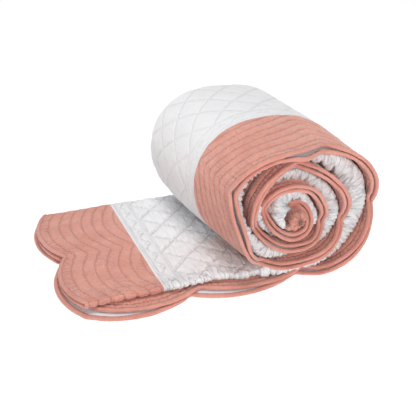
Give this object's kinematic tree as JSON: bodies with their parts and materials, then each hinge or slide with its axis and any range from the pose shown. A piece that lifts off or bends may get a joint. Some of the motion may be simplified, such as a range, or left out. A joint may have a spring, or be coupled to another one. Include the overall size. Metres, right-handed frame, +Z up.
{
  "type": "folded and rolled quilt",
  "caption": "Scalloped bordered bed quilt, folded lengthwise and rolled up from one end, with the free end lying flat.",
  "frame": {"origin": "on the resting surface, under the middle of the whole", "axes": "+Z up, +X from the free end towards the roll, -Y towards the long edges and the open end of the roll"},
  "size_m": [0.5385, 0.3778, 0.241],
  "materials": {
    "white_cotton": "washed quilted cotton, matt",
    "white_backing": "plain washed cotton, matt",
    "coral_cotton": "slubby two-tone washed cotton, matt",
    "coral_bias": "bias-cut washed cotton, matt"
  },
  "bodies": {
    "root": {"centre_panel": "white_cotton", "backing": "white_backing", "end_border_tail": "coral_cotton", "end_border_core": "coral_cotton", "side_border_first": "coral_cotton", "side_border_last": "coral_cotton", "binding": "coral_bias"}
  },
  "joints": []
}
